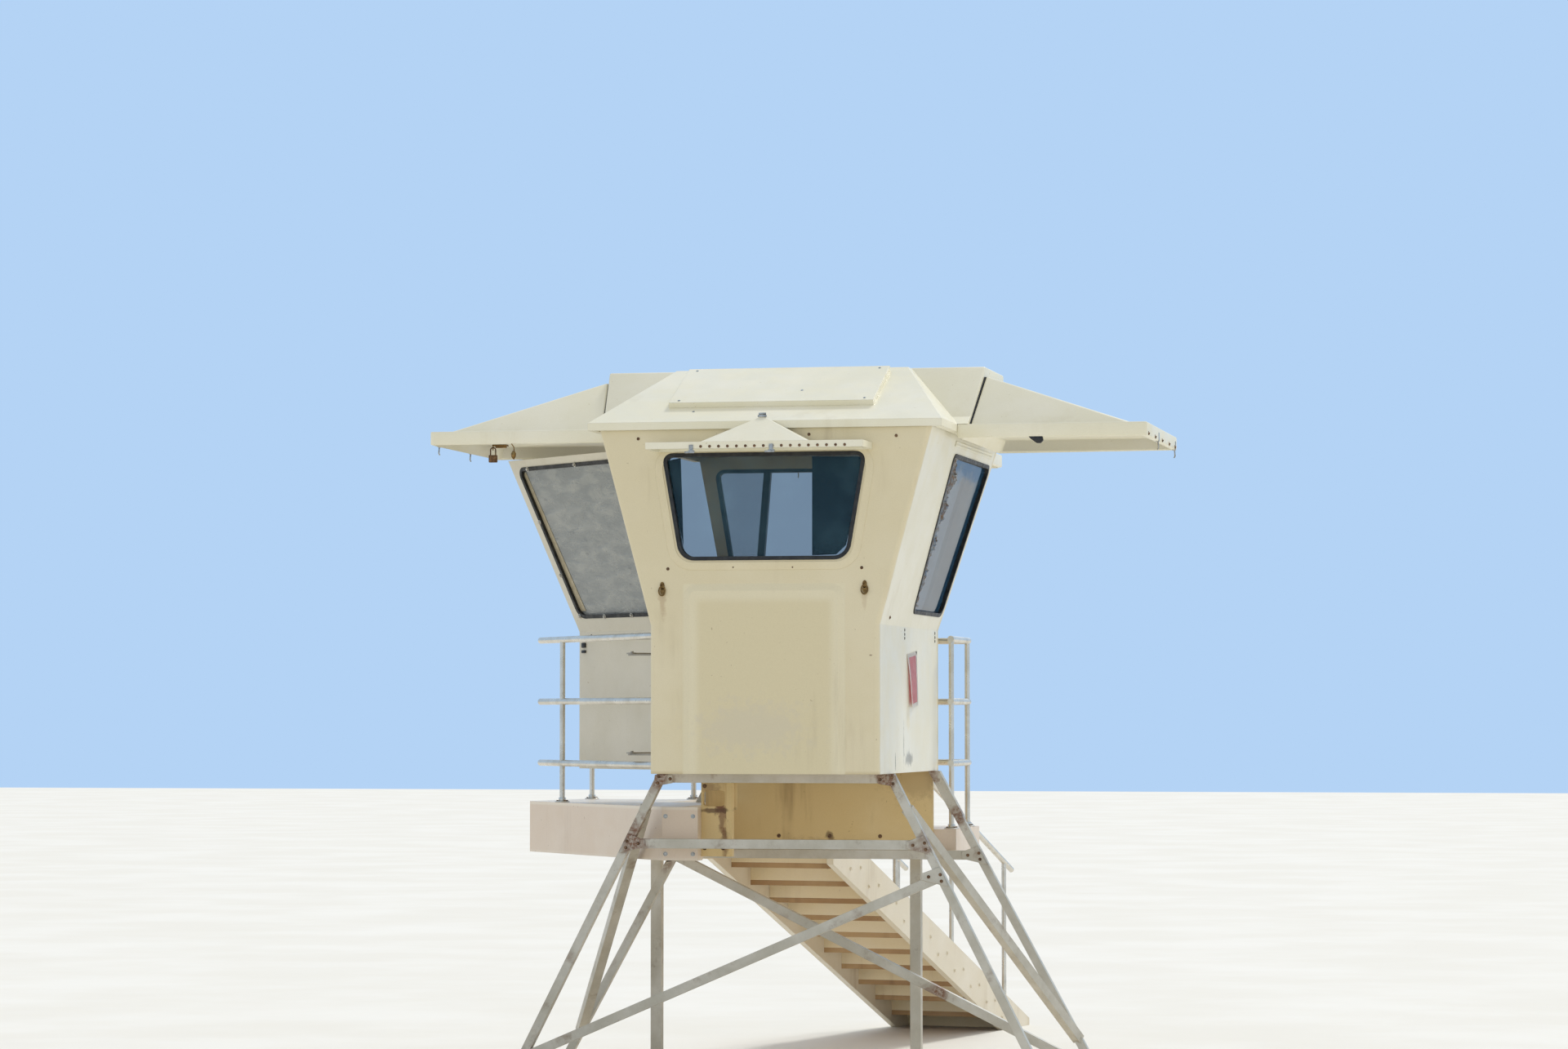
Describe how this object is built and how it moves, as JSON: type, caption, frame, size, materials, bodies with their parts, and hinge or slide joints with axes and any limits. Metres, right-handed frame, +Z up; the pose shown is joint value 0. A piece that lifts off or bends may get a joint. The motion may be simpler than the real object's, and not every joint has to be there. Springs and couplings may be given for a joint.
{
  "type": "lifeguard tower",
  "caption": "Beach lifeguard tower: flared fibreglass cab on splayed aluminium legs, with a deck, railing, raised window shutters, a hinged side door and a long stair.",
  "frame": {"origin": "on the ground under the centre of the plan's bounding box", "axes": "+X to the right seen from the rear wall, +Y from the rear wall towards the stair's foot, +Z up"},
  "size_m": [3.9, 6.192, 3.8724],
  "materials": {
    "aluminium": "weathered, dull",
    "rail_tube": "satin tube",
    "shell": "cream gelcoat, semi-gloss",
    "roof_shell": "pale cream gelcoat",
    "deck_shell": "pinkish beige gelcoat",
    "panel": "tan, stained",
    "window_rubber": "black rubber",
    "mullion": "dark painted frame",
    "tinted_glass": "dark tinted glass",
    "film_glass": "glass with grey reflective film",
    "hinge_steel": "dull, some rust"
  },
  "bodies": {
    "tower": {"cab_floor": "deck_shell", "deck": "deck_shell", "deck_posts": "aluminium", "door_header": "shell", "foot_plates": "aluminium", "front_brace": "aluminium", "front_glass": "tinted_glass", "front_mullions": "mullion", "front_wall": "shell", "hinge_brackets": "hinge_steel", "landing": "deck_shell", "left_rear_wall": "shell", "leg_front_left": "aluminium", "leg_front_right": "aluminium", "leg_rear_left": "aluminium", "leg_rear_right": "aluminium", "leg_sleeves": "aluminium", "lower_front_beam": "aluminium", "lower_rear_beam": "aluminium", "rail_posts": "rail_tube", "rails": "rail_tube", "rear_brace": "aluminium", "rear_glass": "tinted_glass", "rear_hood": "roof_shell", "rear_wall": "shell", "right_glass": "tinted_glass", "right_wall": "shell", "ring_cross_beams": "aluminium", "ring_side_beams": "aluminium", "roof": "roof_shell", "roof_hatch": "roof_shell", "shutter_front": "roof_shell", "shutter_left": "roof_shell", "shutter_right": "roof_shell", "side_diagonals": "aluminium", "stair_handrails": "rail_tube", "stair_risers": "deck_shell", "stair_stringers": "deck_shell", "stair_treads": "deck_shell", "under_cab_panel": "panel", "window_gaskets": "window_rubber"},
    "door": {"door_leaf": "shell", "door_gasket": "window_rubber", "door_glass": "film_glass", "hinge_arms": "hinge_steel"}
  },
  "joints": [
    {"name": "door_swing", "type": "hinge", "parent": "tower", "child": "door", "pos_m": [-0.897, -2.096, 2.4], "axis": [0, 0, 1], "range_deg": [-47, 5]}
  ]
}
